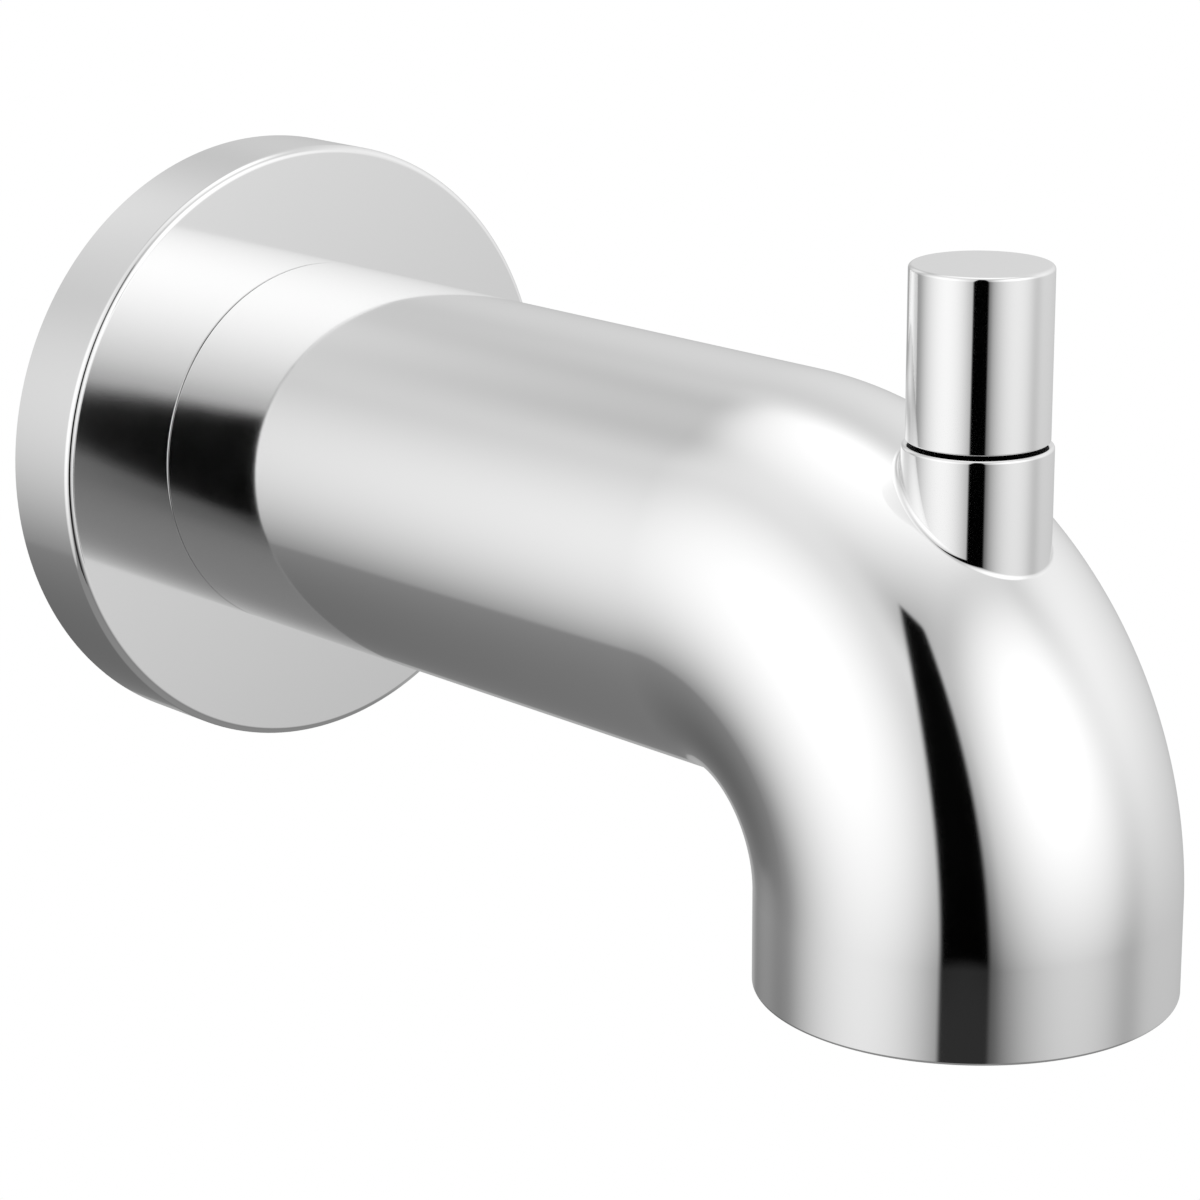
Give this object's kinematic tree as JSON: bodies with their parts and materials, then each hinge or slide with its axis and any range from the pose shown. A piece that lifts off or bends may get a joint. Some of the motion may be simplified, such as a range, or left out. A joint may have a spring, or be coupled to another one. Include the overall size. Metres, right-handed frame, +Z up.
{
  "type": "bath spout",
  "caption": "Chrome wall-mounted bath spout: a round tube with a wall flange bends down to an open outlet, and a lift-up knob on the bend diverts the water.",
  "frame": {"origin": "on the finished wall, on the axis of the tube and of the supply pipe", "axes": "+Y into the wall, so the spout points along -Y; +Z up; +X to the right seen from the front"},
  "size_m": [0.083, 0.161, 0.087],
  "materials": {
    "polished_chrome": "polished chrome plating",
    "turned_brass": "turned, unplated",
    "stainless_steel": "turned and ground",
    "spring_steel": "stamped, dark phosphate",
    "acetal": "moulded, satin white",
    "seal_rubber": "moulded, matte black"
  },
  "bodies": {
    "spout": {"spout_body": "polished_chrome", "wall_flange": "polished_chrome", "wall_gasket": "seal_rubber", "flange_o_ring": "seal_rubber", "inlet_adapter": "turned_brass", "adapter_o_ring": "seal_rubber", "adapter_circlip": "spring_steel", "pipe_o_ring_rear": "seal_rubber", "pipe_o_ring_front": "seal_rubber", "set_screw": "stainless_steel", "stem_bush": "acetal", "stem_o_ring": "seal_rubber", "diverter_seat": "acetal", "seat_o_ring": "seal_rubber", "outlet_circlip": "spring_steel"},
    "diverter": {"diverter_knob": "polished_chrome", "diverter_stem": "stainless_steel", "diverter_gate": "acetal", "gate_seal": "seal_rubber", "gate_pin": "stainless_steel"}
  },
  "joints": [
    {"name": "diverter_lift", "type": "slide", "parent": "spout", "child": "diverter", "axis": [0, 0, 1], "range_m": [0, 0.0125]}
  ]
}
